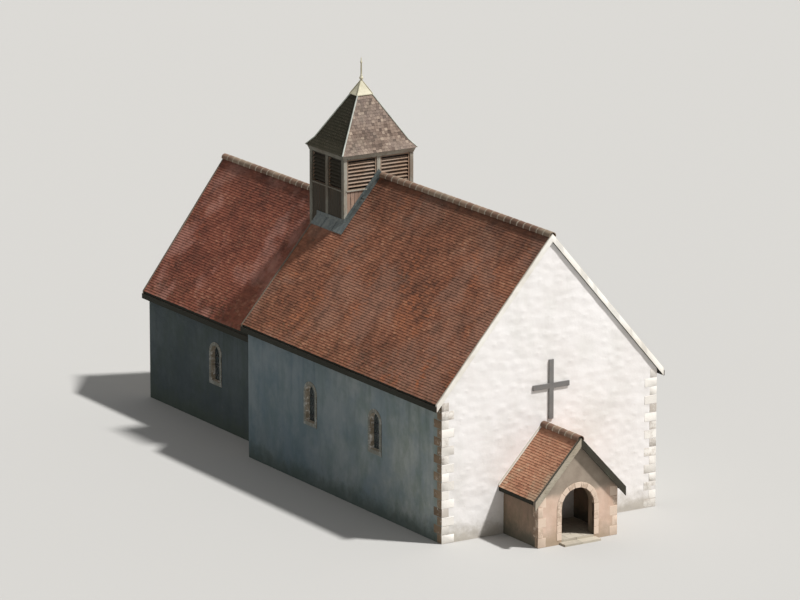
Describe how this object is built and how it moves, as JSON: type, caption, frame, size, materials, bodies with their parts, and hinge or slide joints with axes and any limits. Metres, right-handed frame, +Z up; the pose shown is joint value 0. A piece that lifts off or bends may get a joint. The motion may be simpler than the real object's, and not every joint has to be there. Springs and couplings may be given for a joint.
{
  "type": "small chapel",
  "caption": "Small limewashed chapel with a tiled nave and chancel, a gabled west porch with a hinged plank door, and a timber bell turret with louvres and a flared spire.",
  "frame": {"origin": "middle of the chapel's footprint, at ground level", "axes": "+Z up, +Y along the nave to the chancel's east end, +X to the south side"},
  "size_m": [9.56, 25.13, 14.6014],
  "materials": {
    "limewash": "matt limewash on rubble masonry",
    "floor_stone": "worn flagstones",
    "dressed_stone": "dressed stone, weathered",
    "roof_tile": "old plain clay tiles",
    "porch_tile": "newer plain clay tiles",
    "roof_timber": "dark sawn timber",
    "door_wood": "reddish brown boards",
    "turret_wood": "weathered silver-brown timber",
    "spire_shingle": "weathered shingles",
    "iron": "dark painted iron",
    "lead": "dull lead sheet",
    "cap_sheet": "cream painted sheet",
    "window_glass": "leaded glass"
  },
  "bodies": {
    "chapel": {"nave_floor": "floor_stone", "west_wall_north": "limewash", "west_wall_south": "limewash", "west_gable": "limewash", "nave_north_wall": "limewash", "nave_south_wall": "limewash", "chancel_arch_piers": "limewash", "east_gable": "limewash", "nave_roof_north": "roof_tile", "nave_roof_south": "roof_tile", "tie_beams": "roof_timber", "king_posts": "roof_timber", "principal_rafters": "roof_timber", "ridge_tiles": "roof_tile", "eaves_boards": "roof_timber", "chancel_floor": "floor_stone", "chancel_north_wall": "limewash", "chancel_south_wall": "limewash", "chancel_east_wall": "limewash", "chancel_roof_north": "roof_tile", "chancel_roof_south": "roof_tile", "window_surrounds": "dressed_stone", "window_glass": "window_glass", "porch_floor": "floor_stone", "porch_north_wall": "limewash", "porch_south_wall": "limewash", "porch_piers": "limewash", "porch_gable": "limewash", "porch_roof_north": "porch_tile", "porch_roof_south": "porch_tile", "porch_bargeboards": "roof_timber", "doorway_jambs": "dressed_stone", "doorway_arch": "dressed_stone", "wall_cross": "iron", "quoins": "dressed_stone", "turret_posts": "turret_wood", "turret_boarding": "turret_wood", "turret_louvres": "turret_wood", "turret_cornice": "turret_wood", "turret_spire": "spire_shingle", "turret_cap": "cap_sheet", "turret_finial": "iron", "turret_apron": "lead"},
    "door": {"door_leaf": "door_wood", "door_ironwork": "iron"}
  },
  "joints": [
    {"name": "west_door_hinge", "type": "hinge", "parent": "chapel", "child": "door", "pos_m": [-0.95, -9.485, 1], "axis": [0, 0, 1], "range_deg": [0, 95]}
  ]
}
